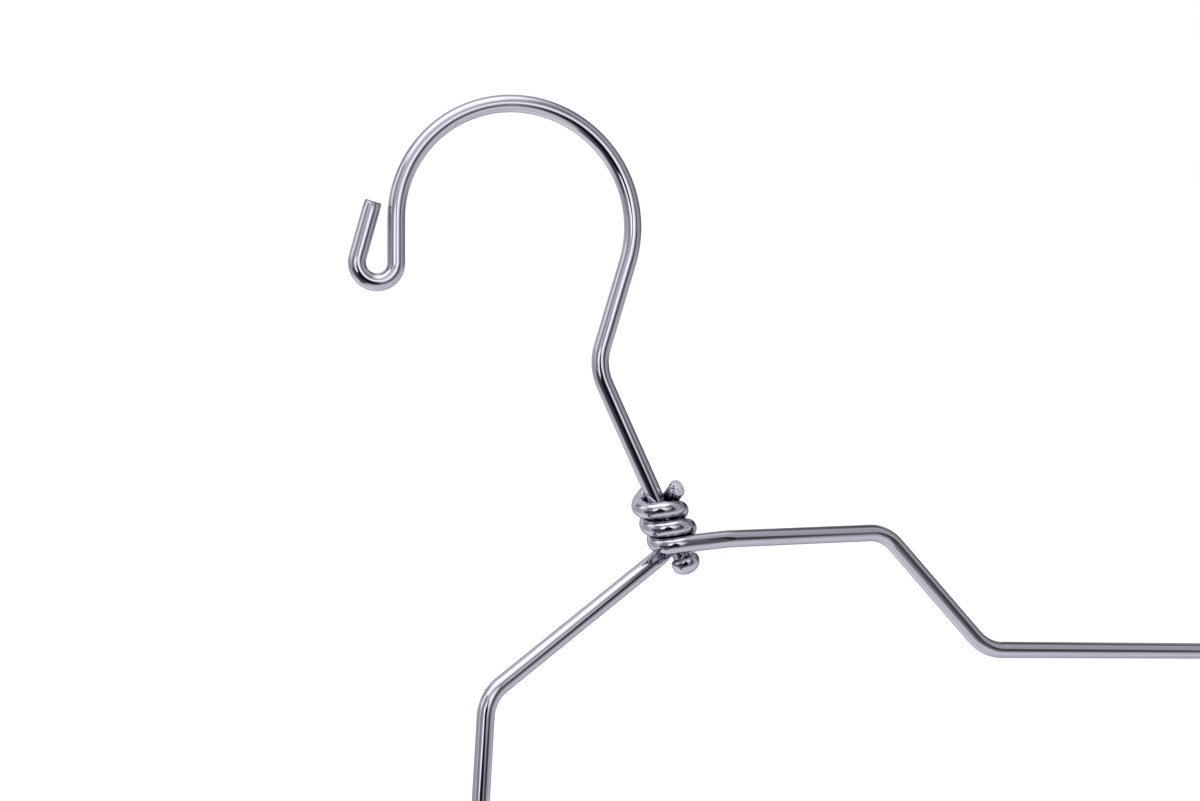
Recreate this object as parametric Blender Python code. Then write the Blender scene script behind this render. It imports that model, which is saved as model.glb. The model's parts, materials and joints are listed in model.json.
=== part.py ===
"""Wire coat hanger: one closed frame wire wound round the shank of a swivelling hook.

Axes: X along the hanger's width, -Y towards the viewer, Z up.
Origin: the rail saddle, where the rail touches the underside of the hook's crest.
Lengths are in metres.
"""

from math import acos, atan2, ceil, cos, pi, radians, sin, sqrt, tan, tau

import bmesh
import bpy
from mathutils import Matrix, Vector

MM = 0.001

# Wires
FRAME_WIRE = 3.5 * MM
HOOK_WIRE = 3.5 * MM

# Frame outline, measured from the neck point with Z up
FRAME_WIDTH = 430.0 * MM
COLLAR_HALF_WIDTH = 47.7 * MM
COLLAR_DROP = 13.4 * MM
STEP_RUN = 14.1 * MM
STEP_DROP = 31.8 * MM
SHOULDER_SLOPE = radians(21.0)
COLLAR_BEND = 8.1 * MM
STEP_BEND = 9.5 * MM
END_BEND = 9.0 * MM

# Neck winding
SHANK_CLEARANCE = 0.3 * MM
WINDING_GAP = 0.42 * MM
FRONT_STRAND_TURNS = 1.46
BACK_STRAND_TURNS = 1.25
FRONT_STRAND_TAIL = 2.8 * MM
BACK_STRAND_TAIL = 3.7 * MM
FRONT_EXIT_LEAD = 10.0 * MM
BACK_EXIT_LEAD = 3.0 * MM
EXIT_BEND = 22.0 * MM
NECK_OFFSET = 0.95 * MM
NECK_LEAN = radians(5.3)

# Pinched cut on the frame wire's ends: slope of each facet, and where it starts beside the middle
PINCH_FACETS = ((radians(17.0), 0.0), (radians(-12.0), 0.0), (radians(-38.0), 1.05 * MM))
PINCH_TURN = radians(-20.0)

# Hook, drawn in its own plane with the shank upright
HOOK_BORE = 45.0 * MM
HOOK_OFFSET = 3.15 * MM
KINK_HEIGHT = 40.2 * MM
KINK_LEAN = radians(41.8)
KINK_BEND = 11.0 * MM
CROWN_END = radians(155.5)
NOSE_DROP = 8.7 * MM
NOSE_BEND = 3.88 * MM
NOSE_TURN = radians(195.5)
NOSE_LEG = 11.2 * MM
NOSE_CUT_TILT = radians(12.0)
REST_SWIVEL = radians(-9.0)

# Cold-formed head under the winding
HEAD_DIAMETER = 5.8 * MM
HEAD_HEIGHT = 3.68 * MM
HEAD_BAND = 0.4 * MM
HEAD_EDGE = 1.0 * MM
HEAD_PLAY = 0.45 * MM

# Facets
WIRE_SIDES = 20
FACET_SAG = 0.025 * MM
GAP_SAMPLE = radians(3.0)

FRAME_RADIUS = FRAME_WIRE / 2
HOOK_RADIUS = HOOK_WIRE / 2
WINDING_RADIUS = HOOK_RADIUS + SHANK_CLEARANCE + FRAME_RADIUS


def strand_spacing():
    """Axial distance between neighbouring strands that leaves the winding gap."""
    apart = FRAME_WIRE + WINDING_GAP
    girth = tau * WINDING_RADIUS
    return apart * girth / sqrt(girth**2 - 4 * apart**2)


WINDING_LEAD = 2 * strand_spacing()
WINDING_ANGLE = atan2(WINDING_LEAD, tau * WINDING_RADIUS)

LEAN = Matrix.Rotation(-NECK_LEAN, 4, "Y")
SWIVEL = Matrix.Rotation(REST_SWIVEL, 4, "Z")


def clear_scene():
    """Remove every object that the scene starts with."""
    for item in list(bpy.data.objects):
        bpy.data.objects.remove(item, do_unlink=True)


def steel(name, colour, roughness):
    """Bright drawn stainless wire."""
    material = bpy.data.materials.new(name)
    material.use_nodes = True
    shader = material.node_tree.nodes["Principled BSDF"]
    shader.inputs["Base Color"].default_value = (*colour, 1.0)
    shader.inputs["Metallic"].default_value = 1.0
    shader.inputs["Roughness"].default_value = roughness
    return material


def facet_step(radius):
    """Angle of one facet on a bend, for the largest sag that a facet may have."""
    return 2 * acos(1 - FACET_SAG / radius)


def arc(centre, start, axis, angle):
    """Points of an arc from start, turned about the axis through centre."""
    spoke = start - centre
    steps = max(2, ceil(abs(angle) / facet_step(spoke.length)))
    turns = (Matrix.Rotation(angle * i / steps, 3, axis) for i in range(steps + 1))
    return [centre + turn @ spoke for turn in turns]


def rounded(corners, radii):
    """A line through the corners, with each inner corner rounded to its radius."""
    points = [corners[0]]
    for before, corner, after, radius in zip(corners, corners[1:], corners[2:], radii):
        back = (before - corner).normalized()
        ahead = (after - corner).normalized()
        opening = back.angle(ahead)
        centre = corner + (back + ahead).normalized() * radius / sin(opening / 2)
        start = corner + back * radius / tan(opening / 2)
        points += arc(centre, start, back.cross(ahead), opening - pi)
    return points + [corners[-1]]


def sweep(name, points, radii):
    """A closed round wire along the points, as a mesh."""
    curve = bpy.data.curves.new(name, "CURVE")
    curve.dimensions = "3D"
    curve.twist_mode = "MINIMUM"
    curve.bevel_depth = 1.0
    curve.bevel_resolution = WIRE_SIDES // 2 - 2
    curve.use_fill_caps = True
    spline = curve.splines.new("POLY")
    spline.points.add(len(points) - 1)
    for knot, point, radius in zip(spline.points, points, radii):
        knot.co = (*point, 1.0)
        knot.radius = radius
    guide = bpy.data.objects.new(name + "_guide", curve)
    bpy.context.collection.objects.link(guide)
    bpy.context.view_layer.update()
    mesh = bpy.data.meshes.new_from_object(guide.evaluated_get(bpy.context.evaluated_depsgraph_get()))
    bpy.data.objects.remove(guide, do_unlink=True)
    bpy.data.curves.remove(curve)
    mesh.name = name
    return mesh


def end_region(body, point, reach):
    """Faces round a wire's end, followed along its surface from the end's centre."""

    def distance(face):
        return (face.calc_center_median() - point).length

    region = {min(body.faces, key=distance)}
    edge = set(region)
    while edge:
        beside = {f for face in edge for side in face.edges for f in side.link_faces}
        edge = {f for f in beside - region if distance(f) < reach}
        region |= edge
    return region


def cut(mesh, planes, wire):
    """Slice the wire's ends with each (point, outward normal) plane and close the cuts."""
    body = bmesh.new()
    body.from_mesh(mesh)
    bmesh.ops.remove_doubles(body, verts=body.verts, dist=0.001 * MM)
    for point, normal in planes:
        faces = end_region(body, point, 2 * wire)
        edges = {e for f in faces for e in f.edges}
        verts = {v for f in faces for v in f.verts}
        bmesh.ops.bisect_plane(
            body,
            geom=[*faces, *edges, *verts],
            dist=0.0005 * MM,
            plane_co=point,
            plane_no=normal,
            clear_outer=True,
        )
        bmesh.ops.holes_fill(body, edges=[e for e in body.edges if e.is_boundary], sides=0)
    bmesh.ops.recalc_face_normals(body, faces=body.faces)
    body.to_mesh(mesh)
    body.free()


def finish(mesh, material):
    """Give the mesh its material and smooth shading, and place it in the scene."""
    mesh.materials.clear()
    mesh.materials.append(material)
    mesh.shade_smooth()
    mesh.set_sharp_from_angle(angle=radians(40))
    item = bpy.data.objects.new(mesh.name, mesh)
    bpy.context.collection.objects.link(item)
    return item


# Frame wire, in the neck frame: Z along the neck, the origin at the winding's base


def upright(x, z):
    """A point of the frame's plane, measured upright from the neck point."""
    return LEAN.inverted() @ Vector((x - NECK_OFFSET, 0, z))


def strand_point(side, turns):
    """A strand's centre: side +1 starts at the front, -1 at the back."""
    angle = tau * turns
    across = -side * WINDING_RADIUS
    return Vector((across * sin(angle), across * cos(angle), WINDING_LEAD * turns))


def strand_heading(side, turns):
    """Direction of a strand as it climbs."""
    angle = tau * turns
    flat = -side * cos(WINDING_ANGLE)
    return Vector((flat * cos(angle), -flat * sin(angle), sin(WINDING_ANGLE)))


def strand(side, turns, tail, step):
    """A wound strand from the winding's base to its cut end."""
    steps = ceil(tau * turns / step)
    points = [strand_point(side, turns * i / steps) for i in range(steps + 1)]
    return points + [points[-1] + strand_heading(side, turns) * tail]


def arm(side):
    """Half of the frame, from the winding to the middle of the bottom bar."""
    exit_point = strand_point(side, 0)
    lead_end = exit_point - strand_heading(side, 0) * (FRONT_EXIT_LEAD if side > 0 else BACK_EXIT_LEAD)
    step_x = COLLAR_HALF_WIDTH + STEP_RUN
    step_z = -COLLAR_DROP - STEP_DROP
    end_x = FRAME_WIDTH / 2 - FRAME_RADIUS - END_BEND
    end_z = step_z - (end_x - step_x) * tan(SHOULDER_SLOPE) - END_BEND / cos(SHOULDER_SLOPE)
    end_centre = upright(side * end_x, end_z)
    end_start = upright(
        side * (end_x + END_BEND * sin(SHOULDER_SLOPE)), end_z + END_BEND * cos(SHOULDER_SLOPE)
    )
    corners = [
        exit_point,
        lead_end,
        upright(side * COLLAR_HALF_WIDTH, -COLLAR_DROP),
        upright(side * step_x, step_z),
        end_start,
    ]
    line = rounded(corners, [EXIT_BEND, COLLAR_BEND, STEP_BEND])
    bend = arc(end_centre, end_start, Vector((0, 1, 0)), side * (pi - SHOULDER_SLOPE))
    return line[1:-1] + bend


def pinch(point, heading):
    """Planes of the facets that pincers leave: two meet in a ridge across the wire, one is steep."""
    level = Vector((0, 0, 1)).cross(heading).cross(heading).normalized()
    ridge = Matrix.Rotation(PINCH_TURN, 3, heading) @ level
    aside = heading.cross(ridge)
    return [
        (point + aside * start, Matrix.Rotation(slope, 3, ridge) @ heading)
        for slope, start in PINCH_FACETS
    ]


def frame_wire():
    """The closed frame, with both of its ends wound round the neck."""
    step = facet_step(WINDING_RADIUS)
    front = strand(1, FRONT_STRAND_TURNS, FRONT_STRAND_TAIL, step)
    back = strand(-1, BACK_STRAND_TURNS, BACK_STRAND_TAIL, step)
    points = front[::-1] + arm(1) + arm(-1)[::-1] + back
    mesh = sweep("frame_wire", points, [FRAME_RADIUS] * len(points))
    cut(
        mesh,
        pinch(front[-1], strand_heading(1, FRONT_STRAND_TURNS))
        + pinch(back[-1], strand_heading(-1, BACK_STRAND_TURNS)),
        FRAME_WIRE,
    )
    return finish(mesh, steel("frame_steel", (0.62, 0.62, 0.66), 0.12))


def winding_gap():
    """Least gap between the two strands, and between turns of one strand."""
    front = strand(1, FRONT_STRAND_TURNS, FRONT_STRAND_TAIL, GAP_SAMPLE)
    back = strand(-1, BACK_STRAND_TURNS, BACK_STRAND_TAIL, GAP_SAMPLE)
    turn = ceil(pi / GAP_SAMPLE)
    gaps = [(a - b).length for a in front for b in back]
    for points in (front, back):
        gaps += [(a - b).length for i, a in enumerate(points) for b in points[i + turn :]]
    return min(gaps) - FRAME_WIRE


# Hook wire, in its own plane: the shank along Z, the crown over +X and -X


def crown():
    """Centre and centreline radius of the hook's round."""
    radius = HOOK_BORE / 2 + HOOK_RADIUS
    lift = (radius - HOOK_OFFSET * cos(KINK_LEAN)) / sin(KINK_LEAN)
    return Vector((-HOOK_OFFSET, 0, KINK_HEIGHT + lift)), radius


def shoulder_height():
    """Height of the head's flat shoulder, just below the winding."""
    return -FRAME_RADIUS / cos(WINDING_ANGLE) - HEAD_PLAY


def head():
    """Points and radii of the head, from its domed foot up to its shoulder."""
    top = shoulder_height()
    rim = HEAD_DIAMETER / 2
    dome_top = top - HEAD_EDGE - HEAD_BAND
    dome = HEAD_HEIGHT - HEAD_EDGE - HEAD_BAND
    profile = []
    steps = 6
    for i in range(steps + 1):
        angle = radians(84) * (1 - i / steps)
        profile.append((dome_top - dome * sin(angle), rim * cos(angle)))
    profile.append((top - HEAD_EDGE, rim))
    for angle in (radians(22), radians(44), radians(66), radians(88)):
        profile.append((top - HEAD_EDGE * (1 - sin(angle)), rim - HEAD_EDGE * (1 - cos(angle))))
    profile.append((top + HEAD_EDGE / 10, HOOK_RADIUS))
    return [Vector((0, 0, z)) for z, _ in profile], [radius for _, radius in profile]


def hook_wire():
    """The hook, from the head under the winding to the turned-back nose."""
    centre, radius = crown()
    lean_start = centre + radius * Vector((cos(KINK_LEAN), 0, -sin(KINK_LEAN)))
    foot, foot_radii = head()
    shank = rounded([foot[-1], Vector((0, 0, KINK_HEIGHT)), lean_start], [KINK_BEND])
    towards_nose = Vector((0, -1, 0))
    round_over = arc(centre, lean_start, towards_nose, KINK_LEAN + CROWN_END)
    heading = Vector((-sin(CROWN_END), 0, cos(CROWN_END)))
    nose_start = round_over[-1] + heading * NOSE_DROP
    inward = Vector((heading.z, 0, -heading.x))
    bend = arc(nose_start + inward * NOSE_BEND, nose_start, towards_nose, -NOSE_TURN)
    nose_heading = Matrix.Rotation(-NOSE_TURN, 3, towards_nose) @ heading
    tip = bend[-1] + nose_heading * NOSE_LEG
    blank = [tip - nose_heading * HOOK_WIRE, tip + nose_heading * HOOK_WIRE]
    points = foot + shank[1:-1] + round_over + bend + blank
    radii = foot_radii + [HOOK_RADIUS] * (len(points) - len(foot))
    mesh = sweep("hook_wire", points, radii)
    tilt = Matrix.Rotation(NOSE_CUT_TILT, 3, towards_nose.cross(nose_heading))
    cut(mesh, [(tip, tilt @ nose_heading)], HOOK_WIRE)
    return finish(mesh, steel("hook_steel", (0.62, 0.62, 0.66), 0.12))


def saddle():
    """The rail's seat under the crown, measured from the neck point with Z up."""
    centre, radius = crown()
    turn = LEAN @ SWIVEL
    up = turn.to_3x3().transposed() @ Vector((0, 0, 1))
    crest = centre + radius * Vector((up.x, 0, up.z)).normalized()
    return turn @ crest - Vector((0, 0, HOOK_RADIUS))


def main():
    """Build the frame and the hook on one neck axis, the rail saddle at the origin."""
    clear_scene()
    neck = bpy.data.objects.new("neck_axis", None)
    neck.empty_display_size = 20 * MM
    bpy.context.collection.objects.link(neck)
    neck.matrix_world = Matrix.Translation(-saddle()) @ LEAN
    frame_wire().parent = neck
    hook = hook_wire()
    hook.parent = neck
    hook.matrix_local = SWIVEL
    print(f"neck winding: least gap {winding_gap() / MM:.2f} mm, lead {WINDING_LEAD / MM:.2f} mm")
    print("neck point (mm):", [round(value / MM, 3) for value in neck.location])
    print("neck direction:", [round(value, 5) for value in LEAN @ Vector((0, 0, 1))])


main()
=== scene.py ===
"""Looks of a wire suit hanger: two bent wires of bright drawn steel in a white light tent.

The frame wire is one closed outline whose two ends wind round the hook's shank. The hook wire has a
cold-formed head under that winding and a nose turned back in a U. Both are made here from a ring of
edges, run by run, the way a bending bench works a straight length of wire.

Lengths are in metres, angles in radians. Z is up, the frame lies along X, and the viewer is at -Y.
"""

import json
import logging
from collections.abc import Sequence
from dataclasses import dataclass, field
from enum import Enum
from math import atan2, ceil, cos, pi, radians, sin, sqrt, tan, tau
from typing import ClassVar, NamedTuple

import bmesh
import bpy
from mathutils import Matrix, Vector
from mathutils.kdtree import KDTree

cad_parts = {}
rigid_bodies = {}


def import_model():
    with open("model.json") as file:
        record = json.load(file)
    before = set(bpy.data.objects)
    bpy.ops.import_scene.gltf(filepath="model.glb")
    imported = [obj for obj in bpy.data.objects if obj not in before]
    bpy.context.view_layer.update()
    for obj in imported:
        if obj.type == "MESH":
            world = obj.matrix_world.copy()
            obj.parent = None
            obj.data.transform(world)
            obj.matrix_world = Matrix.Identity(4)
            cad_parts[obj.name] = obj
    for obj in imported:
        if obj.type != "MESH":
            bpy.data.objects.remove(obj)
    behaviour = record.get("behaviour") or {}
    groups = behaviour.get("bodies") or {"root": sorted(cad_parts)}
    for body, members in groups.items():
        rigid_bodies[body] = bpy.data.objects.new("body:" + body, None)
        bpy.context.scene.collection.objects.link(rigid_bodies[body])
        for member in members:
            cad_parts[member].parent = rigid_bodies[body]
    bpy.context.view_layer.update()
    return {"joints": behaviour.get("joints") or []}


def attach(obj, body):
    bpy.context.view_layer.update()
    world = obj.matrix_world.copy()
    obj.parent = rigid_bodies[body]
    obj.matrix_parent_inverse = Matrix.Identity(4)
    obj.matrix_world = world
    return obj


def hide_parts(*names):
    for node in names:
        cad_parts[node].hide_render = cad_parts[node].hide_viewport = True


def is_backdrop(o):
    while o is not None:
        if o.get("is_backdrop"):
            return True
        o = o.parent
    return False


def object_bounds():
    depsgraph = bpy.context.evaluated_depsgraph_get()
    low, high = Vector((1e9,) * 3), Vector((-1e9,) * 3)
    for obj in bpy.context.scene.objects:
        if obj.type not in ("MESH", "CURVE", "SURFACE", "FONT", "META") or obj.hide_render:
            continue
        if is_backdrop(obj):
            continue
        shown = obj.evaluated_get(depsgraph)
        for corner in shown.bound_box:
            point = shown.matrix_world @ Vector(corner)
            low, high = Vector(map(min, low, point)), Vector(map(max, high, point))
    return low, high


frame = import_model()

MM = 0.001
WIRE = 3.5 * MM
STOCK = "stock"
# Attribute that holds each vertex's share of painted shade in the crevices between the wires.
CREVICE = "crevice"

Tint = tuple[float, float, float, float]
Range = tuple[float, float]
Socket = bpy.types.NodeSocket

log = logging.getLogger("suit_hanger")


class Body(Enum):
    """The two bodies that turn on each other."""

    HOOK = "hook"
    FRAME = "frame"


class Strand(Enum):
    """The winding's strands: the right arm's starts in front of the neck, the left arm's behind it."""

    RIGHT = 1
    LEFT = -1


class End(Enum):
    """Which end of a wire is worked on."""

    FIRST = 0
    LAST = -1


class Finish(Enum):
    """A wire's finishes, in the order of its material slots."""

    DRAWN = 0
    TORN = 1
    PRESSED = 2
    # The rolled rim of a cut, coloured near black: painted shade.
    PAINTED_SHADE_BURR = 3


class NodeBoard:
    """A node tree being wired up: each call adds a node and feeds its inputs."""

    def __init__(self, owner: bpy.types.Material | bpy.types.World) -> None:
        """Start on an emptied node tree.

        Args:
            owner: The material or world that the tree belongs to.
        """
        owner.use_nodes = True
        self.tree = owner.node_tree
        self.tree.nodes.clear()

    def add(
        self, kind: str, feeds: dict[str | int, object] | None = None, **settings: object
    ) -> bpy.types.Node:
        """Add a node.

        Args:
            kind: The node's type.
            feeds: For each input, the socket that is linked to it or the value that it is set to.
            settings: The node's own settings.

        Returns:
            The node.
        """
        node = self.tree.nodes.new(kind)
        for key, value in settings.items():
            setattr(node, key, value)
        for key, value in (feeds or {}).items():
            if isinstance(value, Socket):
                self.tree.links.new(value, node.inputs[key])
            else:
                node.inputs[key].default_value = value
        return node

    def noise(self, vector: Socket, detail: float, rough: float = 0.5) -> Socket:
        """Add a noise of unit size, read where the vector says, and give its value."""
        feeds = {"Vector": vector, "Scale": 1.0, "Detail": detail, "Roughness": rough}
        return self.add("ShaderNodeTexNoise", feeds).outputs["Fac"]

    def stretch(self, vector: Socket, width: float, length: float | None = None) -> Socket:
        """Divide a vector by a feature's width along X and Y and its length, if it has one, along Z."""
        scale = (1.0 / width, 1.0 / width, 1.0 / (length or width))
        return self.add("ShaderNodeMapping", {"Vector": vector, "Scale": scale}).outputs["Vector"]

    def span(
        self, value: Socket, start: float, end: float, low: float = 0.0, high: float = 1.0
    ) -> Socket:
        """Turn a value's run from start to end into a smooth run from low to high."""
        feeds = {"Value": value, "From Min": start, "From Max": end, "To Min": low, "To Max": high}
        return self.add("ShaderNodeMapRange", feeds, interpolation_type="SMOOTHSTEP").outputs["Result"]

    def sum(self, one: Socket | float, other: Socket, weight: float) -> Socket:
        """Add a second value, weighted, to a first one."""
        feeds = {0: other, 1: weight, 2: one}
        return self.add("ShaderNodeMath", feeds, operation="MULTIPLY_ADD").outputs["Value"]

    def blend(self, factor: Socket, low: Tint | Socket, high: Tint) -> Socket:
        """Go from a low colour to a high one as the factor goes from 0 to 1."""
        return self.add("ShaderNodeMix", {0: factor, 6: low, 7: high}, data_type="RGBA").outputs[2]

    def fade(self, factor: Socket, low: float | Socket, high: float) -> Socket:
        """Go from a low level to a high one as the factor goes from 0 to 1."""
        return self.add("ShaderNodeMix", {0: factor, 2: low, 3: high}, data_type="FLOAT").outputs[0]

    def cool(self, level: Socket, gain: float, lift: float) -> Socket:
        """Turn a level of light into its colour, a grey whose blue is multiplied and lifted."""
        feeds = {0: level, 1: level, 2: self.sum(lift, level, gain)}
        return self.add("ShaderNodeCombineColor", feeds).outputs["Color"]

    def bump(self, height: Socket, depth: float) -> Socket:
        """Turn a height into a bumped normal, one unit of height being as deep as given."""
        feeds = {"Height": height, "Distance": depth, "Strength": 1.0}
        return self.add("ShaderNodeBump", feeds).outputs["Normal"]

    def surface(self, feeds: dict[str | int, object]) -> None:
        """Give the tree's material its surface, one Principled shader with these inputs."""
        shader = self.add("ShaderNodeBsdfPrincipled", feeds)
        self.add("ShaderNodeOutputMaterial", {"Surface": shader.outputs["BSDF"]})


@dataclass(frozen=True)
class DrawnSteel:
    """Bright drawn stainless wire: polished, cool grey, with the die's fine lines along it.

    Lines are the wider ones and hairs the finest, scuffs are cloudy patches, and the crevice shade is
    painted shade: the near black laid where the wires lie close together. A range says where a smooth
    step starts and ends.
    """

    name: str
    dark_tint: Tint = (0.565, 0.558, 0.624, 1.0)
    light_tint: Tint = (0.600, 0.592, 0.655, 1.0)
    edge_tint: Tint = (0.30, 0.29, 0.36, 1.0)
    # Near-black painted shade, laid into the crevices between the wires.
    painted_crevice_shade: Tint = (0.012, 0.010, 0.010, 1.0)
    roughness: Range = (0.01, 0.04)
    line_width: float = 0.30 * MM
    hair_width: float = 0.07 * MM
    line_length: float = 45.0 * MM
    line_depth: float = 0.003 * MM
    scuff_size: float = 2.2 * MM
    scuff_weight: float = 0.6
    hair_weight: float = 0.25
    hair_range: Range = (0.3, 0.7)
    wear_range: Range = (0.55, 1.05)

    def material(self) -> bpy.types.Material:
        """Make the finish.

        Returns:
            A material that reads the wire's STOCK attribute, so its lines follow every bend.
        """
        material = bpy.data.materials.new(self.name)
        board = NodeBoard(material)
        stock = board.add("ShaderNodeAttribute", attribute_name=STOCK).outputs["Vector"]
        lines = board.noise(board.stretch(stock, self.line_width, self.line_length), detail=3.0)
        hairs = board.noise(board.stretch(stock, self.hair_width, self.line_length), detail=2.0)
        scuffs = board.noise(board.stretch(stock, self.scuff_size), detail=4.0, rough=0.6)
        bare = board.blend(board.span(hairs, *self.hair_range), self.dark_tint, self.light_tint)
        # Painted shade: the base colour goes near black where the CREVICE attribute marks wires lying
        # close together.
        black = board.add("ShaderNodeAttribute", attribute_name=CREVICE).outputs["Fac"]
        worn = board.sum(lines, scuffs, self.scuff_weight)
        feeds = {
            "Metallic": 1.0,
            "Base Color": board.blend(black, bare, self.painted_crevice_shade),
            "Specular Tint": self.edge_tint,
            "Roughness": board.span(worn, *self.wear_range, *self.roughness),
            "Normal": board.bump(board.sum(lines, hairs, self.hair_weight), self.line_depth),
        }
        board.surface(feeds)
        return material


@dataclass(frozen=True)
class CutLook:
    """How one kind of cut steel looks: its dark and bright specks, and how metallic it is."""

    dark: Tint
    light: Tint
    metallic: float


CUT_LOOKS = {
    Finish.TORN: CutLook((0.02, 0.02, 0.025, 1.0), (0.66, 0.65, 0.72, 1.0), 0.85),
    Finish.PRESSED: CutLook((0.50, 0.49, 0.54, 1.0), (0.80, 0.79, 0.86, 1.0), 0.60),
    # Painted shade: both of the rolled rim's tones are near black, so the rim shows as a dark line.
    Finish.PAINTED_SHADE_BURR: CutLook((0.02, 0.02, 0.022, 1.0), (0.16, 0.155, 0.17, 1.0), 0.90),
}


@dataclass(frozen=True)
class ShearedSteel:
    """Steel cut by the pincers: dragged into fine ridges, with dark and bright specks."""

    name: str
    look: CutLook
    drag_width: float = 0.32 * MM
    drag_length: float = 2.56 * MM
    drag_weight: float = 0.8
    drag_range: Range = (0.35, 0.65)
    grain: float = 0.50 * MM
    grain_weight: float = 0.6
    speck_range: Range = (0.87, 0.92)
    roughness: Range = (0.22, 0.5)
    depth: float = 0.08 * MM

    def material(self) -> bpy.types.Material:
        """Make the finish.

        Returns:
            A material that reads the piece's own coordinates.
        """
        material = bpy.data.materials.new(self.name)
        board = NodeBoard(material)
        place = board.add("ShaderNodeTexCoord").outputs["Object"]
        drags = board.noise(board.stretch(place, self.drag_width, self.drag_length), detail=3.0)
        grains = board.noise(board.stretch(place, self.grain), detail=3.0, rough=0.7)
        specks = board.span(board.sum(grains, drags, self.drag_weight), *self.speck_range)
        feeds = {
            "Metallic": self.look.metallic,
            "Base Color": board.blend(specks, self.look.dark, self.look.light),
            "Roughness": board.span(drags, *self.drag_range, *self.roughness),
            "Normal": board.bump(board.sum(drags, grains, self.grain_weight), self.depth),
        }
        board.surface(feeds)
        return material


@dataclass(frozen=True)
class Facet:
    """One facet of a cut end: a point of it, its outward normal, the blade's way, the tears' depth."""

    point: Vector
    normal: Vector
    drag: Vector
    tear: float
    finish: Finish
    level_play: ClassVar[float] = 0.002 * MM
    parallel: ClassVar[float] = 0.9999

    def holds(self, face: bmesh.types.BMFace, reach: float) -> bool:
        """Tell whether a face lies in this facet.

        Args:
            face: The face.
            reach: How far from the facet's point it may be.

        Returns:
            Whether it does.
        """
        aside = face.calc_center_median() - self.point
        level = abs(aside.dot(self.normal)) < self.level_play
        return level and aside.length < reach and abs(face.normal.dot(self.normal)) > self.parallel


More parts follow.
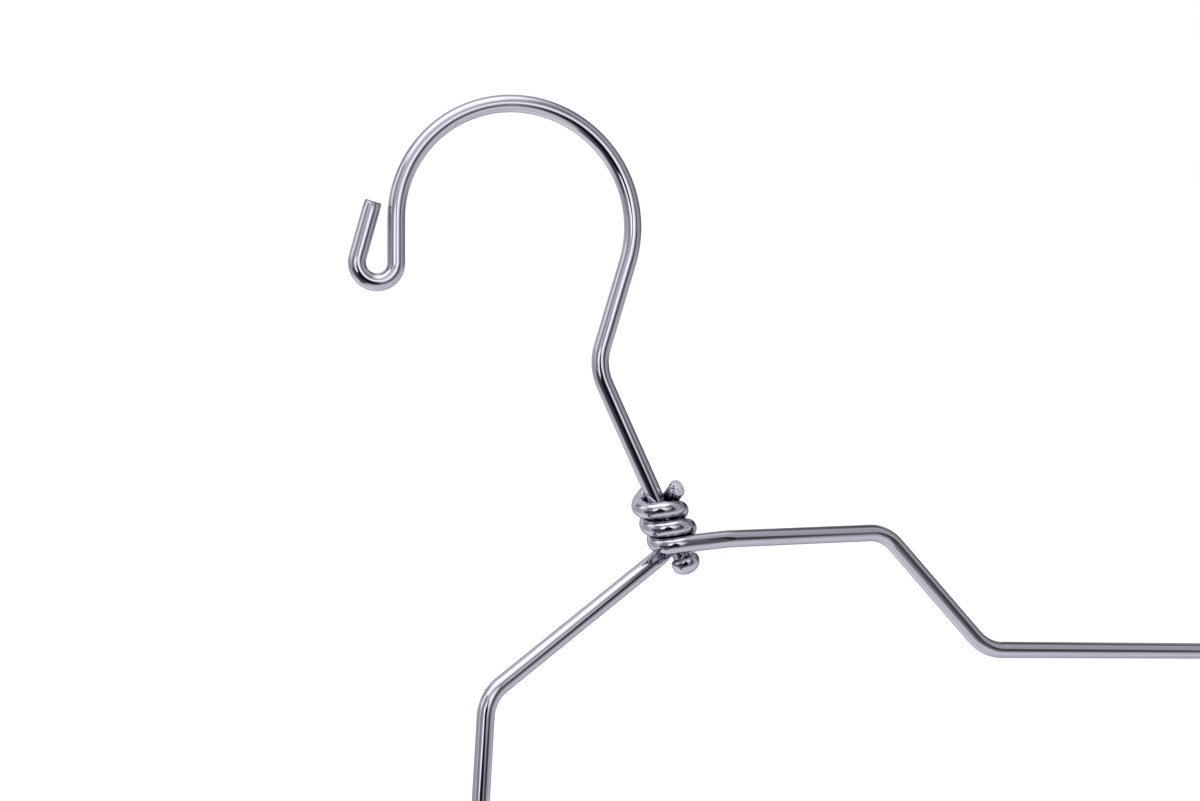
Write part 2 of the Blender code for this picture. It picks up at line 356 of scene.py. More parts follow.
@dataclass
class WireBender:
    """A round wire on the bending bench, pulled on and bent one run at a time.

    The wire starts as a ring of edges. Each move carries the ring on and leaves wall behind it. The
    STOCK attribute keeps where each vertex lay on the straight wire: across, across and along.
    Along and path keep how far along the wire each ring lies, and where its centre is. A torn facet
    is scored into tear cells, so wide and so long, over the tear reach, in radii, to each side of its
    point, which the first score misses by the tear start, in cells.
    """

    name: str
    radius: float
    sides: int = 48
    smooth_turn: float = radians(4.0)
    sharp_turn: float = radians(30.0)
    rim_steps: int = 3
    tear_cells: tuple[float, float] = (0.15 * MM, 0.45 * MM)
    tear_reach: float = 1.6
    tear_start: float = 0.37
    ring_play: float = 0.001 * MM
    cut_play: float = 0.0001 * MM
    place: Vector = field(default_factory=Vector)
    heading: Vector = field(default_factory=Vector)
    along: list[float] = field(default_factory=list)
    path: list[Vector] = field(default_factory=list)
    piece: bpy.types.Object | None = None

    def start(self, place: Vector, heading: Vector, radius: float | None = None) -> None:
        """Set up the first ring of edges.

        Args:
            place: The ring's centre.
            heading: The way the wire leaves it.
            radius: The first ring's radius, where it isn't the wire's own.
        """
        bpy.ops.object.select_all(action="DESELECT")
        bpy.ops.mesh.primitive_circle_add(
            vertices=self.sides,
            radius=self.radius,
            fill_type="NOTHING",
            location=place,
            rotation=heading.to_track_quat("Z", "Y").to_euler(),
        )
        self.piece = bpy.context.object
        self.piece.name = self.piece.data.name = self.name
        for _ in Finish:
            self.piece.data.materials.append(None)
        stock = self.piece.data.attributes.new(STOCK, "FLOAT_VECTOR", "POINT")
        for mark, vertex in zip(stock.data, self.piece.data.vertices):
            mark.vector = vertex.co
        bpy.ops.object.transform_apply(location=True, rotation=True, scale=True)
        bpy.ops.object.mode_set(mode="EDIT")
        bpy.ops.mesh.select_mode(type="VERT")
        bpy.ops.mesh.select_all(action="SELECT")
        self.place = place.copy()
        self.heading = heading.normalized()
        self.along = [0.0]
        self.path = [self.place]
        if radius is not None:
            self._widen(radius / self.radius)

    def feed(self, length: float, widen: float = 1.0) -> None:
        """Pull the wire on straight.

        Args:
            length: How far.
            widen: Factor between the new ring's width and the last one's.
        """
        bpy.ops.mesh.extrude_region_move(TRANSFORM_OT_translate={"value": self.heading * length})
        self.place = self.place + self.heading * length
        self.along.append(self.along[-1] + length)
        self.path.append(self.place)
        if widen != 1.0:
            self._widen(widen)

    def shift(self, aside: Vector) -> None:
        """Move the selected ring aside."""
        bpy.ops.transform.translate(value=aside)
        self.place = self.place + aside

    def bend(self, centre: Vector, axis: Vector, angle: float) -> None:
        """Bend the wire round a former.

        Args:
            centre: The former's centre, in the plane of the bend.
            axis: The former's axis.
            angle: How far it turns, right-handed about the axis.
        """
        steps = max(2, ceil(abs(angle) / self.smooth_turn))
        bpy.ops.mesh.spin(steps=steps, angle=-angle, center=centre, axis=axis, use_auto_merge=False)
        run = (self.place - centre).length * abs(angle) / steps
        self.along += [self.along[-1] + run * (i + 1) for i in range(steps)]
        part_turn = Matrix.Rotation(angle / steps, 3, axis)
        for _ in range(steps):
            self.place = centre + part_turn @ (self.place - centre)
            self.path.append(self.place)
        self.heading = Matrix.Rotation(angle, 3, axis) @ self.heading

    def wind(self, core: Vector, axis: Vector, angle: float, rise: float) -> None:
        """Wind the wire round a core as a helix.

        Args:
            core: A point on the core's axis.
            axis: The core's axis.
            angle: How far it turns, right-handed about the axis.
            rise: How far it climbs along the axis meanwhile.
        """
        steps = ceil(abs(angle) / self.smooth_turn)
        part = angle / steps
        turn = Matrix.Rotation(part, 3, axis)
        climb = axis * (rise / steps)
        for _ in range(steps):
            bpy.ops.mesh.spin(steps=1, angle=-part, center=core, axis=axis, use_auto_merge=False)
            bpy.ops.transform.translate(value=climb)
            before = self.place
            self.place = core + turn @ (self.place - core) + climb
            self.heading = turn @ self.heading
            self.along.append(self.along[-1] + (self.place - before).length)
            self.path.append(self.place)

    def follow(self, corners: Sequence[Vector], formers: Sequence[float]) -> None:
        """Run straight from corner to corner, with each inner corner bent round its former.

        Args:
            corners: The corners ahead, the last one being where the run stops.
            formers: Centreline radius of the bend at each corner but the last.
        """
        for corner, after, radius in zip(corners, corners[1:], formers):
            back = (self.place - corner).normalized()
            ahead = (after - corner).normalized()
            opening = back.angle(ahead)
            self.feed((corner - self.place).length - radius / tan(opening / 2))
            centre = corner + (back + ahead).normalized() * radius / sin(opening / 2)
            self.bend(centre, ahead.cross(back).normalized(), pi - opening)
        self.feed((corners[-1] - self.place).length)

    def take_off(self) -> None:
        """Leave the bench: note how far along the straight wire each ring lay."""
        bpy.ops.object.mode_set(mode="OBJECT")
        for index, mark in enumerate(self.piece.data.attributes[STOCK].data):
            mark.vector.z = self.along[index // self.sides]

    def close(self, end: End) -> None:
        """Draw an end's ring together in a pole.

        Args:
            end: The end to close.
        """
        self._select_rings(end, 1)
        bpy.ops.mesh.merge(type="CENTER")
        bpy.ops.object.mode_set(mode="OBJECT")

    def cut(self, end: End, facets: Sequence[Facet], rollover: float) -> None:
        """Cut an end off, roll the cut's rim over a little, colour the rim near black as painted shade,
        and tear its facets.

        Args:
            end: The end to cut.
            facets: The facets of the cut.
            rollover: Width of the rim.
        """
        for facet in facets:
            self._select_rings(end, 2)
            bpy.ops.mesh.bisect(
                plane_co=facet.point,
                plane_no=facet.normal,
                use_fill=True,
                clear_outer=True,
                threshold=self.cut_play,
            )
            bpy.ops.object.mode_set(mode="OBJECT")
        self._select_facets(facets)
        # The rolled rim takes the burr finish, painted near black as shade.
        bpy.ops.mesh.region_to_loop()
        bpy.ops.mesh.bevel(
            offset=rollover,
            segments=self.rim_steps,
            affect="EDGES",
            clamp_overlap=True,
            material=Finish.PAINTED_SHADE_BURR.value,
        )
        bpy.ops.object.mode_set(mode="OBJECT")
        for number, facet in enumerate(facets):
            if facet.tear > 0:
                self._tear(facet, number)

    def smooth(self) -> None:
        """Turn every face outwards and shade the wall smooth, with the cuts' rims sharp."""
        bpy.ops.object.mode_set(mode="EDIT")
        bpy.ops.mesh.select_all(action="SELECT")
        bpy.ops.mesh.normals_make_consistent(inside=False)
        bpy.ops.object.mode_set(mode="OBJECT")
        bpy.ops.object.shade_smooth_by_angle(angle=self.sharp_turn)

    def _widen(self, factor: float) -> None:
        """Scale the selected ring about its centre."""
        bpy.ops.transform.resize(value=(factor, factor, factor), center_override=self.place)

    def _tear(self, facet: Facet, seed: int) -> None:
        """Score a flat facet into narrow cells and make them uneven, its rim left as it is.

        The corners are put in a set order first, so that each run gives them the same unevenness.

        Args:
            facet: The facet.
            seed: Seed of the unevenness.
        """
        self._select_facets([facet])
        bpy.ops.mesh.hide(unselected=True)
        for way, cell in zip((facet.drag.cross(facet.normal), facet.drag), self.tear_cells):
            reach = ceil(self.radius * self.tear_reach / cell)
            for step in range(-reach, reach + 1):
                bpy.ops.mesh.select_all(action="SELECT")
                scored = facet.point + way * ((step + self.tear_start) * cell)
                bpy.ops.mesh.bisect(plane_co=scored, plane_no=way, threshold=self.cut_play)
        bpy.ops.mesh.reveal(select=False)
        bpy.ops.object.mode_set(mode="OBJECT")
        self._select_facets([facet])
        bpy.ops.mesh.select_mode(type="VERT")
        bpy.ops.mesh.select_less()
        bpy.ops.mesh.sort_elements(type="CURSOR_DISTANCE", elements={"VERT"})
        bpy.ops.transform.vertex_random(offset=facet.tear, seed=seed)
        bpy.ops.object.mode_set(mode="OBJECT")

    def _select_rings(self, end: End, count: int) -> None:
        """Go to edit mode with an end's last rings selected, and all that lies between them.

        Args:
            end: The end.
            count: How many rings.
        """
        rings = self.along[:count] if end is End.FIRST else self.along[-count:]
        bpy.ops.object.mode_set(mode="EDIT")
        bpy.ops.mesh.select_mode(type="VERT")
        bpy.ops.mesh.select_all(action="DESELECT")
        mesh = bmesh.from_edit_mesh(self.piece.data)
        stock = mesh.verts.layers.float_vector[STOCK]
        for vertex in mesh.verts:
            if rings[0] - self.ring_play <= vertex[stock].z <= rings[-1] + self.ring_play:
                vertex.select = True
        mesh.select_flush(True)
        bmesh.update_edit_mesh(self.piece.data)

    def _select_facets(self, facets: Sequence[Facet]) -> None:
        """Go to edit mode with the faces of a cut's facets selected and given their finish.

        Args:
            facets: The facets.
        """
        bpy.ops.object.mode_set(mode="EDIT")
        bpy.ops.mesh.select_mode(type="FACE")
        bpy.ops.mesh.select_all(action="DESELECT")
        mesh = bmesh.from_edit_mesh(self.piece.data)
        for face in mesh.faces:
            for facet in facets:
                if facet.holds(face, 2 * self.radius):
                    face.select_set(True)
                    face.material_index = facet.finish.value
        bmesh.update_edit_mesh(self.piece.data)


@dataclass(frozen=True)
class Neck:
    """The axis that the hook turns on, as the record gives it."""

    point: Vector
    right: Vector
    back: Vector
    up: Vector

    @classmethod
    def from_record(cls) -> "Neck":
        """Read the neck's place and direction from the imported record's joint.

        Returns:
            The neck, with its own axes to the right, to the back and up.
        """
        joint = next(j for j in frame["joints"] if j["name"] == "neck_swivel")
        up = Vector(joint["axis"]).normalized()
        back = Vector((0, 1, 0))
        return cls(Vector(joint["pos_m"]), back.cross(up), back, up)

    def aim(self, right: float, back: float, up: float) -> Vector:
        """A direction given along the neck's own axes."""
        return self.right * right + self.back * back + self.up * up

    def spot(self, right: float, back: float, up: float) -> Vector:
        """A point given along the neck's own axes."""
        return self.point + self.aim(right, back, up)

    def swung(self, angle: float) -> "Neck":
        """The same neck with its own axes turned about it."""
        turn = Matrix.Rotation(angle, 3, self.up)
        return Neck(self.point, turn @ self.right, turn @ self.back, self.up)


@dataclass(frozen=True)
class Winding:
    """Two strands of the frame wire wound side by side round the hook's shank, left-handed."""

    wire: float = WIRE
    core: float = WIRE
    clearance: float = 0.05 * MM
    strand_gap: float = 0.12 * MM
    lift: float = 0.42 * MM

    @property
    def radius(self) -> float:
        """Radius of the strands' centreline."""
        return (self.core + self.wire) / 2 + self.clearance

    @property
    def lead(self) -> float:
        """Climb of a strand in one turn, with the other strand in between."""
        apart, girth = self.wire + self.strand_gap, tau * self.radius
        return 2 * apart * girth / sqrt(girth**2 - 4 * apart**2)

    @property
    def pitch(self) -> float:
        """Angle at which a strand climbs."""
        return atan2(self.lead, tau * self.radius)

    def point(self, neck: Neck, strand: Strand, turns: float) -> Vector:
        """Where a strand's centreline is after some turns, counted from the winding's base."""
        across, height = -strand.value * self.radius, self.lift + self.lead * turns
        return neck.spot(across * sin(tau * turns), across * cos(tau * turns), height)

    def heading(self, neck: Neck, strand: Strand, turns: float) -> Vector:
        """Which way a strand climbs after some turns."""
        flat = -strand.value * cos(self.pitch)
        return neck.aim(flat * cos(tau * turns), -flat * sin(tau * turns), sin(self.pitch))


@dataclass
class HangerWire:
    """What both wires have: the neck and winding that they meet at, their thickness and finishes."""

    neck: Neck
    winding: Winding
    wire: float = WIRE

    def dress(self, piece: bpy.types.Object, body: Body) -> None:
        """Give the wire its finishes, in the order of Finish.

        Args:
            piece: The wire.
            body: The body that it belongs to.
        """
        slots = piece.data.materials
        slots[Finish.DRAWN.value] = DrawnSteel(f"{body.value}_drawn_steel").material()
        for finish, look in CUT_LOOKS.items():
            name = f"{body.value}_{finish.name.lower()}_steel"
            slots[finish.value] = ShearedSteel(name, look).material()


@dataclass
class FrameWire(HangerWire):
    """The hanger's frame: collar, steps, shoulders and trouser bar, closed by the winding."""

    width: float = 430.0 * MM
    collar_half_width: float = 47.7 * MM
    collar_drop: float = 13.4 * MM
    step_run: float = 14.1 * MM
    step_drop: float = 31.8 * MM
    shoulder_slope: float = radians(21.0)
    collar_former: float = 8.1 * MM
    step_former: float = 9.5 * MM
    end_former: float = 9.0 * MM
    right_exit: float = 10.0 * MM
    left_exit: float = 3.0 * MM
    exit_former: float = 22.0 * MM
    neck_offset: float = 0.95 * MM
    right_turns: float = 1.46
    left_turns: float = 1.25
    right_tail: float = 2.8 * MM
    left_tail: float = 4.30 * MM
    pinch_slopes: tuple[float, ...] = (radians(17.0), radians(-12.0), radians(-38.0))
    pinch_steps: tuple[float, ...] = (-0.60 * MM, -0.60 * MM, 0.35 * MM)
    pinch_tears: tuple[float, ...] = (0.13 * MM, 0.03 * MM, 0.015 * MM)
    pinch_turn: float = radians(-20.0)
    rollover: float = 0.12 * MM

    def build(self) -> WireBender:
        """Bend the frame from the right strand's end, round the outline, to the left strand's end.

        Returns:
            The bender, which holds the frame as one piece.
        """
        bender = WireBender("frame_drawn_wire", self.wire / 2)
        first, first_heading = self._strand_end(Strand.RIGHT, self.right_turns, self.right_tail)
        last, last_heading = self._strand_end(Strand.LEFT, self.left_turns, self.left_tail)
        spare = self.wire
        bender.start(first + first_heading * spare, -first_heading)
        bender.feed(spare + self.right_tail)
        self._wind(bender, -self.right_turns)
        bender.follow(self._arm(Strand.RIGHT), [self.exit_former, self.collar_former, self.step_former])
        self._bend_end(bender, Strand.RIGHT)
        bender.follow([self._bar_end(Strand.LEFT)], [])
        self._bend_end(bender, Strand.LEFT)
        left = [*reversed(self._arm(Strand.LEFT)[:-1]), self.winding.point(self.neck, Strand.LEFT, 0)]
        bender.follow(left, [self.step_former, self.collar_former, self.exit_former])
        self._wind(bender, self.left_turns)
        bender.feed(self.left_tail + spare)
        bender.take_off()
        bender.cut(End.FIRST, self._pinch(first, first_heading), self.rollover)
        bender.cut(End.LAST, self._pinch(last, last_heading), self.rollover)
        bender.smooth()
        return bender

    def _strand_end(self, strand: Strand, turns: float, tail: float) -> tuple[Vector, Vector]:
        """The tip of a strand and the way it points."""
        heading = self.winding.heading(self.neck, strand, turns)
        return self.winding.point(self.neck, strand, turns) + heading * tail, heading

    def _wind(self, bender: WireBender, turns: float) -> None:
        """Wind a strand up the neck, or down it where the turns are negative."""
        bender.wind(self.neck.point, self.neck.up, -tau * turns, self.winding.lead * turns)

    def _upright(self, x: float, z: float) -> Vector:
        """A point of the frame's plane, measured upright from the neck."""
        return self.neck.point + Vector((x - self.neck_offset, 0, z))

    def _end_centre(self, strand: Strand) -> Vector:
        """Centre of the bend at a shoulder's end.

        Args:
            strand: The strand on that side.

        Returns:
            The centre.
        """
        x = self.width / 2 - self.wire / 2 - self.end_former
        run = x - self.collar_half_width - self.step_run
        drop = run * tan(self.shoulder_slope) + self.end_former / cos(self.shoulder_slope)
        return self._upright(strand.value * x, -self.collar_drop - self.step_drop - drop)

    def _bar_end(self, strand: Strand) -> Vector:
        """Where the trouser bar meets the bend at a shoulder's end."""
        return self._end_centre(strand) - Vector((0, 0, self.end_former))

    def _arm(self, strand: Strand) -> list[Vector]:
        """Corners of an arm, from the winding to where the shoulder's end bends.

        Args:
            strand: The strand on that side.

        Returns:
            The corners.
        """
        side = strand.value
        lead = self.right_exit if strand is Strand.RIGHT else self.left_exit
        base = self.winding.point(self.neck, strand, 0)
        outward = Vector((side * sin(self.shoulder_slope), 0, cos(self.shoulder_slope)))
        step_x = self.collar_half_width + self.step_run
        return [
            base - self.winding.heading(self.neck, strand, 0) * lead,
            self._upright(side * self.collar_half_width, -self.collar_drop),
            self._upright(side * step_x, -self.collar_drop - self.step_drop),
            self._end_centre(strand) + outward * self.end_former,
        ]

    def _bend_end(self, bender: WireBender, strand: Strand) -> None:
        """Bend a shoulder's end, down to the bar on the right and up from it on the left."""
        bender.bend(self._end_centre(strand), Vector((0, 1, 0)), pi - self.shoulder_slope)

    def _pinch(self, tip: Vector, heading: Vector) -> list[Facet]:
        """The facets that pincers leave: two that meet in a ridge across the wire, and a steep one.

        Args:
            tip: The tip of the strand.
            heading: The way it points.

        Returns:
            The facets.
        """
        level = self.neck.up.cross(heading).cross(heading).normalized()
        ridge = Matrix.Rotation(self.pinch_turn, 3, heading) @ level
        aside = heading.cross(ridge)
        facets = []
        for slope, step, tear in zip(self.pinch_slopes, self.pinch_steps, self.pinch_tears):
            normal = Matrix.Rotation(slope, 3, ridge) @ heading
            finish = Finish.TORN if slope > 0 else Finish.PRESSED
            facets.append(Facet(tip + aside * step, normal, ridge, tear, finish))
        return facets


@dataclass
class HookWire(HangerWire):
    """The hook: head, shank, kink, round and nose, in a plane turned a little from the frame's."""

    bore: float = 45.0 * MM
    offset: float = 3.15 * MM
    kink_height: float = 40.2 * MM
    kink_lean: float = radians(41.8)
    kink_former: float = 11.0 * MM
    crown_end: float = radians(155.5)
    nose_drop: float = 8.7 * MM
    nose_former: float = 3.88 * MM
    nose_turn: float = radians(195.5)
    nose_leg: float = 11.55 * MM
    nose_cut_tilt: float = radians(-11.0)
    nose_tear: float = 0.02 * MM
    nip: float = 2.1 * MM
    nip_taper: float = 0.045
    rollover: float = 0.18 * MM
    rest_swivel: float = radians(-9.0)
    head_diameter: float = 5.8 * MM
    head_height: float = 3.68 * MM
    head_band: float = 0.4 * MM
    head_edge: float = 1.0 * MM
    head_fillet: float = 0.12 * MM
    head_play: float = 0.45 * MM
    head_offset: float = 0.28 * MM
    dome_turn: float = radians(88.0)
    dome_steps: int = 20
    edge_steps: int = 6

    def build(self) -> WireBender:
        """Bend the hook from its head to its nose.

        Returns:
            The bender, which holds the hook as one piece.
        """
        own = self.neck.swung(self.rest_swivel)
        bender = WireBender("hook_drawn_wire", self.wire / 2)
        self._form_head(bender, own)
        self._bend_round(bender, own)
        cut = self._bend_nose(bender, -own.back)
        bender.take_off()
        bender.close(End.FIRST)
        bender.cut(End.LAST, [cut], self.rollover)
        bender.smooth()
        return bender

    def _form_head(self, bender: WireBender, own: Neck) -> None:
        """Start the wire as the head: a dome, a band, a rounded edge and a flat shoulder.

        Args:
            bender: The bender.
            own: The neck with the hook's own axes.
        """
        top = -self.winding.wire / 2 / cos(self.winding.pitch) - self.head_play
        rim = self.head_diameter / 2
        band_foot = top - self.head_edge - self.head_band
        dome = self.head_height - self.head_edge - self.head_band
        rings = []
        for i in range(self.dome_steps + 1):
            angle = self.dome_turn * (1 - i / self.dome_steps)
            rings.append((band_foot - dome * sin(angle), rim * cos(angle)))
        for i in range(self.edge_steps + 1):
            angle = pi / 2 * i / self.edge_steps
            edge_in = self.head_edge * (1 - cos(angle))
            rings.append((top - self.head_edge * (1 - sin(angle)), rim - edge_in))
        rings.append((top + self.head_fillet, self.wire / 2))
        height, radius = rings[0]
        bender.start(own.spot(self.head_offset, 0, height), own.up, radius)
        for next_height, next_radius in rings[1:]:
            bender.feed(next_height - height, next_radius / radius)
            height, radius = next_height, next_radius
        bender.shift(own.right * -self.head_offset)

    def _bend_round(self, bender: WireBender, own: Neck) -> None:
        """Run up the shank, over the kink and round the crown, then down to the nose.

        Args:
            bender: The bender.
            own: The neck with the hook's own axes.
        """
        radius = (self.bore + self.wire) / 2
        lift = (radius - self.offset * cos(self.kink_lean)) / sin(self.kink_lean)
        centre = own.spot(-self.offset, 0, self.kink_height + lift)
        crown_start = centre + own.aim(cos(self.kink_lean), 0, -sin(self.kink_lean)) * radius
        bender.follow([own.spot(0, 0, self.kink_height), crown_start], [self.kink_former])
        bender.bend(centre, -own.back, self.kink_lean + self.crown_end)
        bender.feed(self.nose_drop)

    def _bend_nose(self, bender: WireBender, viewer: Vector) -> Facet:
        """Turn the nose back in its U, with its end nipped narrower by the shears.

        Args:
            bender: The bender.
            viewer: The way to the viewer, square to the hook's plane.

        Returns:
            The cut that ends the nose.
        """
        inward = bender.heading.cross(viewer)
        bender.bend(bender.place + inward * self.nose_former, viewer, -self.nose_turn)
        bender.feed(self.nose_leg - self.nip - self.rollover)
        bender.feed(self.rollover)
        spare = self.wire
        nipped = self.nip + spare
        bender.feed(nipped, 1.0 - self.nip_taper * nipped / self.nip)
        tip = bender.place - bender.heading * spare
        tilt = Matrix.Rotation(self.nose_cut_tilt, 3, viewer.cross(bender.heading))
        return Facet(tip, tilt @ bender.heading, viewer, self.nose_tear, Finish.TORN)


class Neighbour(NamedTuple):
    """A bit of wire near a point: the gap to it, which wire it is of, and how far along that."""

    gap: float
    wire: int
    along: float


@dataclass(frozen=True)
class PaintedCreviceShade:
    """Painted shade where the wires lie close together: black lines in the crevices between them.

    Line and pocket are the gaps up to which it is fully black and from which it is bare: a line runs
    beside the nearest wire, and a pocket lies where a second one is near too.
    """

    wire: float = WIRE
    line: Range = (0.14 * MM, 0.40 * MM)
    pocket: Range = (0.85 * MM, 1.00 * MM)
    sample: float = 0.3 * MM
    own_stretch: float = 8.0 * MM
    reach: float = 26.0 * MM

    def mark(self, benders: Sequence[WireBender], neck: Neck) -> None:
        """Write each vertex's share of painted shade, from 0 to 1, into the CREVICE attribute.

        Args:
            benders: The benders that made the wires.
            neck: The neck that they meet at.
        """
        samples = [(*sample, owner) for owner, b in enumerate(benders) for sample in self._samples(b)]
        near = KDTree(len(samples))
        for number, (_, place, _) in enumerate(samples):
            near.insert(place, number)
        near.balance()
        for owner, bender in enumerate(benders):
            mesh = bender.piece.data
            stock = mesh.attributes[STOCK].data
            black = [0.0] * len(mesh.vertices)
            for vertex in mesh.vertices:
                if (vertex.co - neck.point).length > self.reach:
                    continue
                spots = []
                for _, number, away in near.find_range(vertex.co, self.wire / 2 + self.pocket[1]):
                    along, _, wire = samples[number]
                    spots.append(Neighbour(away - self.wire / 2, wire, along))
                own = Neighbour(0.0, owner, stock[vertex.index].vector.z)
                black[vertex.index] = self._black(sorted(spots), own)
            mesh.attributes.new(CREVICE, "FLOAT", "POINT").data.foreach_set("value", black)

    def _black(self, spots: Sequence[Neighbour], own: Neighbour) -> float:
        """Share of black at a vertex.

        Args:
            spots: The bits of wire near it, the nearest first.
            own: The bit of wire that it lies on.

        Returns:
            The share, from 0 to 1.
        """
        others = [spot for spot in spots if self._apart(spot, own)]
        if not others:
            return 0.0
        beside = self._share(others[0].gap, self.line)
        seconds = [self._share(s.gap, self.pocket) for s in others if self._apart(s, others[0])]
        return max([beside, *seconds[:1]])

    def _apart(self, one: Neighbour, other: Neighbour) -> bool:
        """Tell whether two bits are of different wires, or far apart along one."""
        return one.wire != other.wire or abs(one.along - other.along) > self.own_stretch

    def _share(self, gap: float, limits: Range) -> float:
        """Share of black at a gap: 1 up to the first limit, 0 from the second."""
        share = min(1.0, max(0.0, (limits[1] - gap) / (limits[1] - limits[0])))
        return share * share * (3 - 2 * share)

    def _samples(self, bender: WireBender) -> list[tuple[float, Vector]]:
        """Closely spaced points of a wire's centreline, each with how far along the wire it is.

        Args:
            bender: The bender that made the wire.

        Returns:
            The points.
        """
        samples = []
        rings = list(zip(bender.along, bender.path))
        for (start, here), (end, there) in zip(rings, rings[1:]):
            steps = max(1, ceil((end - start) / self.sample))
            for i in range(steps):
                samples.append((start + (end - start) * i / steps, here.lerp(there, i / steps)))
        return samples


@dataclass(frozen=True)
class PhotoCamera:
    """The photographed view, solved from the frame's own symmetry."""

    lens: float = 60.0
    sensor: float = 36.0
    turn: float = radians(22.51)
    tip: float = radians(-6.80)
    roll: float = radians(-18.01)
    distance: float = 405.8 * MM
    foot_pixel: tuple[float, float] = (673.3, 548.4)
    frame_size: tuple[int, int] = (1200, 801)

    def build(self, foot: Vector) -> bpy.types.Object:
        """Place the camera so that the neck's foot lies at its photographed pixel.

        Args:
            foot: The point of the frame's plane at the neck's foot.

        Returns:
            The camera.
        """
        data = bpy.data.cameras.new("photo_camera")
        data.lens = self.lens
        data.sensor_width = self.sensor
        camera = bpy.data.objects.new("photo_camera", data)
        bpy.context.scene.collection.objects.link(camera)
        upright = Matrix(((1, 0, 0), (0, 0, -1), (0, 1, 0)))
        turned = Matrix.Rotation(-self.turn, 3, "Y") @ Matrix.Rotation(self.tip, 3, "X")
        view = turned @ Matrix.Rotation(self.roll, 3, "Z") @ upright
        focal = self.lens / self.sensor * self.frame_size[0]
        across, down = (
            (pixel - size / 2) / focal * self.distance
            for pixel, size in zip(self.foot_pixel, self.frame_size)
        )
        place = foot - view.transposed() @ Vector((across, down, self.distance))
        facing = view.transposed() @ Matrix.Diagonal((1, -1, -1))
        camera.matrix_world = Matrix.Translation(place) @ facing.to_4x4()
        bpy.context.scene.camera = camera
        return camera


@dataclass(frozen=True)
class PaleFloor:
    """A matt white floor sheet with a faint paper grain."""

    name: str = "pale_floor"
    half_width: float = 12.0
    gap: float = 50.0 * MM
    shade: Tint = (0.88, 0.88, 0.88, 1.0)
    pale: Tint = (0.90, 0.90, 0.90, 1.0)
    grain: float = 1.5 * MM
    roughness: float = 0.9

    def build(self, height: float) -> None:
        """Lay the floor.

        Args:
            height: The lowest point of what hangs over it.
        """
        bpy.ops.mesh.primitive_plane_add(size=2 * self.half_width, location=(0, 0, height - self.gap))
        floor = bpy.context.object
        floor.name = self.name
        floor.visible_glossy = False
        floor.data.materials.append(self._material())
        floor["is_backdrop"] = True

    def _material(self) -> bpy.types.Material:
        """Make the floor's matt white.

        Returns:
            The material.
        """
        material = bpy.data.materials.new(self.name)
        board = NodeBoard(material)
        place = board.add("ShaderNodeTexCoord").outputs["Object"]
        grain = board.noise(board.stretch(place, self.grain), detail=4.0)
        tint = board.blend(grain, self.shade, self.pale)
        feeds = {"Base Color": tint, "Roughness": self.roughness, "Specular IOR Level": 0.0}
        board.surface(feeds)
        return material


@dataclass(frozen=True)
class Patch:
    """A soft-edged round patch of the studio, as bright or dark as the wire mirrors it.

    Angles are in degrees: bearing from the front (-Y) towards the right (+X), height above the
    horizon, and the half-angles within which the patch is full and beyond which it is gone.
    """

    bearing: float
    height: float
    full: float
    gone: float
    level: float

    def toward(self) -> tuple[float, float, float]:
        """Direction from the hanger to the patch's middle."""
        bearing, height = radians(self.bearing), radians(self.height)
        return sin(bearing) * cos(height), -cos(bearing) * cos(height), sin(height)


@dataclass(frozen=True)
class Oval:
    """A soft-edged oval on the card round the camera, as bright or dark as the wire mirrors it.

    Across and up are metres from the camera, wide and high are half-axes, turn is in degrees, and
    soft is how far the edge reaches in and out, as a share of the half-axes.
    """

    across: float
    up: float
    wide: float
    high: float
    turn: float
    soft: float
    level: float


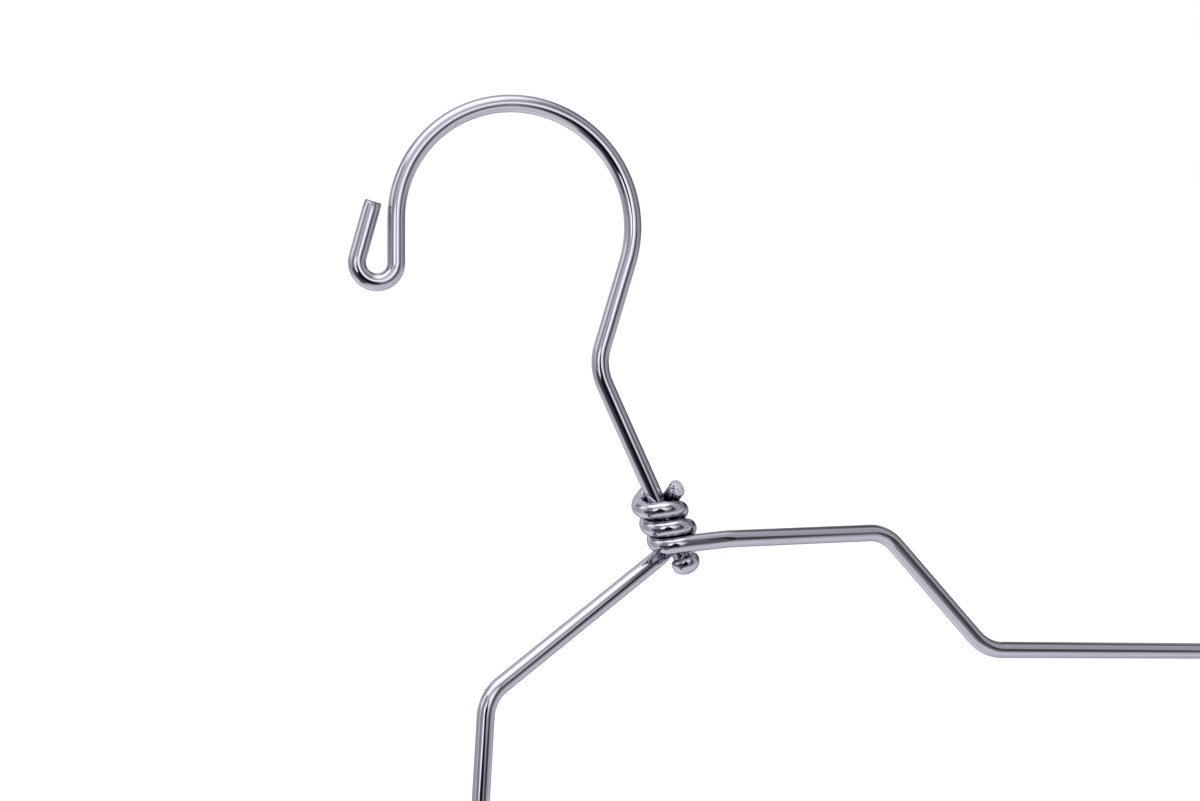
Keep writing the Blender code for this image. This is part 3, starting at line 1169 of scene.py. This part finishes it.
@dataclass(frozen=True)
class Studio:
    """A white tent round the hanger, with a softbox overhead and the dark room in front on a card.

    Ceiling, table and backdrop are the tent's levels overhead, underneath and in the camera's view,
    and blue is what every level is multiplied by and lifted by in its blue.
    """

    ceiling: float = 0.81
    table: float = 0.84
    horizon: float = 0.75
    backdrop: float = 1.0
    daylight: float = 0.83
    daylight_spread: float = radians(100.0)
    blue: tuple[float, float] = (1.03, 0.006)
    card_radius: float = 850.0 * MM
    card_fade: float = 150.0 * MM
    card_level: float = 0.35
    patches: tuple[Patch, ...] = (
        Patch(3, 65, 30, 36, 1.72),
        Patch(-107, 51, 13, 18, 1.24),
        Patch(-145, 49, 8, 17, 0.30),
        Patch(-127, 14, 16, 30, 0.53),
        Patch(-71, -1, 17, 37, 0.10),
        Patch(-87, -34, 8, 10, 0.08),
        Patch(38, 0, 33, 55, 0.51),
        Patch(95, 1, 15, 32, 0.32),
        Patch(23, -13, 10, 24, 0.07),
        Patch(95, 31, 6, 19, 0.17),
        Patch(165, 19, 28, 32, 1.01),
        Patch(180, 56, 7, 13, 0.70),
        Patch(160, 4, 13, 23, 0.27),
        Patch(116, 2, 10, 14, 0.08),
        Patch(140, 8, 10, 14, 0.14),
        Patch(122, 34, 9, 13, 0.14),
        Patch(-162, -26, 20, 41, 1.11),
        Patch(-179, 14, 14, 19, 1.25),
    )
    ovals: tuple[Oval, ...] = (
        Oval(-0.111, 0.744, 0.412, 0.404, 4, 0.07, 1.488),
        Oval(-0.062, 0.311, 0.244, 0.153, 16, 0.36, 0.735),
        Oval(0.560, 0.226, 0.243, 0.487, 6, 0.06, 0.170),
        Oval(0.340, 0.200, 0.062, 0.124, 24, 0.33, 0.771),
        Oval(0.202, -0.613, 0.444, 0.213, 13, 0.19, 0.845),
        Oval(-0.442, -0.277, 0.347, 0.247, 2, 0.13, 0.077),
        Oval(-0.024, -0.184, 0.215, 0.095, 6, 0.14, 0.058),
        Oval(0.136, 0.104, 0.146, 0.112, -15, 0.26, 1.25),
        Oval(-0.134, 0.044, 0.112, 0.127, -84, 0.17, 1.55),
        Oval(0.116, 0.118, 0.062, 0.030, 7, 0.09, 1.60),
        Oval(0.447, -0.058, 0.142, 0.029, -3, 0.25, 0.050),
        Oval(0.377, -0.167, 0.156, 0.085, 26, 0.16, 0.125),
        Oval(-0.036, -0.099, 0.173, 0.101, 9, 0.09, 0.010),
        Oval(-0.009, 0.017, 0.091, 0.088, -7, 0.11, 0.015),
        Oval(0.068, 0.010, 0.064, 0.031, 14, 0.35, 0.010),
        Oval(-0.260, 0.022, 0.070, 0.032, 9, 0.17, 0.556),
        Oval(-0.429, 0.295, 0.169, 0.082, -4, 0.18, 0.390),
        Oval(0.229, 0.500, 0.054, 0.101, -4, 0.20, 0.768),
        Oval(0.586, 0.109, 0.074, 0.242, 17, 0.11, 0.025),
        Oval(0.770, 0.084, 0.081, 0.319, -5, 0.11, 0.083),
        Oval(-0.002, 0.085, 0.036, 0.060, 0, 0.18, 0.010),
    )

    def build(self, camera: bpy.types.Object) -> None:
        """Light the scene.

        Args:
            camera: The photograph's camera, which the card surrounds.
        """
        bpy.context.scene.view_settings.view_transform = "Standard"
        self._tent()
        self._daylight()
        self._card(camera)

    def _tent(self) -> None:
        """Surround the scene with the tent."""
        tent = bpy.data.worlds.new("white_tent")
        bpy.context.scene.world = tent
        board = NodeBoard(tent)
        toward = board.add("ShaderNodeTexCoord").outputs["Generated"]
        up = board.add("ShaderNodeSeparateXYZ", {"Vector": toward}).outputs["Z"]
        level = board.span(up, -self.horizon, self.horizon, self.table, self.ceiling)
        for patch in self.patches:
            feeds = {0: toward, 1: patch.toward()}
            facing = board.add("ShaderNodeVectorMath", feeds, operation="DOT_PRODUCT").outputs["Value"]
            cover = board.span(facing, cos(radians(patch.gone)), cos(radians(patch.full)))
            level = board.fade(cover, level, patch.level)
        seen = board.add("ShaderNodeLightPath").outputs["Is Camera Ray"]
        glow = board.cool(board.fade(seen, level, self.backdrop), *self.blue)
        light = board.add("ShaderNodeBackground", {"Color": glow, "Strength": 1.0})
        board.add("ShaderNodeOutputWorld", {"Surface": light.outputs["Background"]})

    def _daylight(self) -> None:
        """Light the floor evenly from above."""
        data = bpy.data.lights.new("tent_top", "SUN")
        data.energy = self.daylight
        data.angle = self.daylight_spread
        light = bpy.data.objects.new("tent_top", data)
        light.visible_glossy = False
        bpy.context.scene.collection.objects.link(light)

    def _card(self, camera: bpy.types.Object) -> None:
        """Hold a round card about the camera, which only the bright steel shows.

        Args:
            camera: The photograph's camera.
        """
        bpy.ops.mesh.primitive_circle_add(
            radius=self.card_radius,
            fill_type="NGON",
            location=camera.matrix_world.translation,
            rotation=camera.matrix_world.to_euler(),
        )
        card = bpy.context.object
        card.name = "front_card"
        for kind in ("camera", "diffuse", "transmission", "volume_scatter", "shadow"):
            setattr(card, f"visible_{kind}", False)
        card.data.materials.append(self._card_paint())
        card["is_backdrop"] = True

    def _card_paint(self) -> bpy.types.Material:
        """Make the card's glow: its ovals one over another, with the card's rim fading out.

        Returns:
            The material.
        """
        material = bpy.data.materials.new("card_paint")
        board = NodeBoard(material)
        place = board.add("ShaderNodeTexCoord").outputs["Object"]
        level = self.card_level
        for oval in self.ovals:
            level = board.fade(self._cover(board, place, oval), level, oval.level)
        glow = board.cool(level, *self.blue)
        light = board.add("ShaderNodeEmission", {"Color": glow, "Strength": 1.0})
        out = board.add("ShaderNodeVectorMath", {0: place}, operation="LENGTH").outputs["Value"]
        rim = board.span(out, self.card_radius - self.card_fade, self.card_radius)
        clear = board.add("ShaderNodeBsdfTransparent").outputs["BSDF"]
        shader = board.add("ShaderNodeMixShader", {0: rim, 1: light.outputs["Emission"], 2: clear})
        board.add("ShaderNodeOutputMaterial", {"Surface": shader.outputs["Shader"]})
        return material

    def _cover(self, board: NodeBoard, place: Socket, oval: Oval) -> Socket:
        """How much an oval covers the card.

        Args:
            board: The card's board.
            place: The place on the card.
            oval: The oval.

        Returns:
            The cover, from 0 outside it to 1 inside.
        """
        feeds = {
            "Vector": place,
            "Location": (oval.across, oval.up, 0.0),
            "Rotation": (0.0, 0.0, radians(oval.turn)),
            "Scale": (oval.wide, oval.high, 1.0),
        }
        inside = board.add("ShaderNodeMapping", feeds, vector_type="TEXTURE").outputs["Vector"]
        out = board.add("ShaderNodeVectorMath", {0: inside}, operation="LENGTH").outputs["Value"]
        return board.span(out, 1.0 - oval.soft, 1.0 + oval.soft, 1.0, 0.0)


def main() -> None:
    """Build the hanger, its finishes and the studio round it."""
    logging.basicConfig(level=logging.INFO, format="%(name)s: %(message)s")
    neck = Neck.from_record()
    winding = Winding()
    hanger = FrameWire(neck, winding)
    frame_bender = hanger.build()
    piece = frame_bender.piece
    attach(piece, Body.FRAME.value)
    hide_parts("frame_wire")
    hanger.dress(piece, Body.FRAME)
    log.info("frame: %d faces", len(piece.data.polygons))
    hook = HookWire(neck, winding)
    hook_bender = hook.build()
    hook_piece = hook_bender.piece
    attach(hook_piece, Body.HOOK.value)
    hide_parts("hook_wire")
    hook.dress(hook_piece, Body.HOOK)
    log.info("hook: %d faces", len(hook_piece.data.polygons))
    # Painted shade: black laid into the crevices where the wires lie close together.
    PaintedCreviceShade().mark([frame_bender, hook_bender], neck)
    camera = PhotoCamera().build(neck.point - Vector((hanger.neck_offset, 0, 0)))
    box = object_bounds()
    PaleFloor().build(box[0].z)
    Studio().build(camera)


if __name__ == "__main__":
    main()
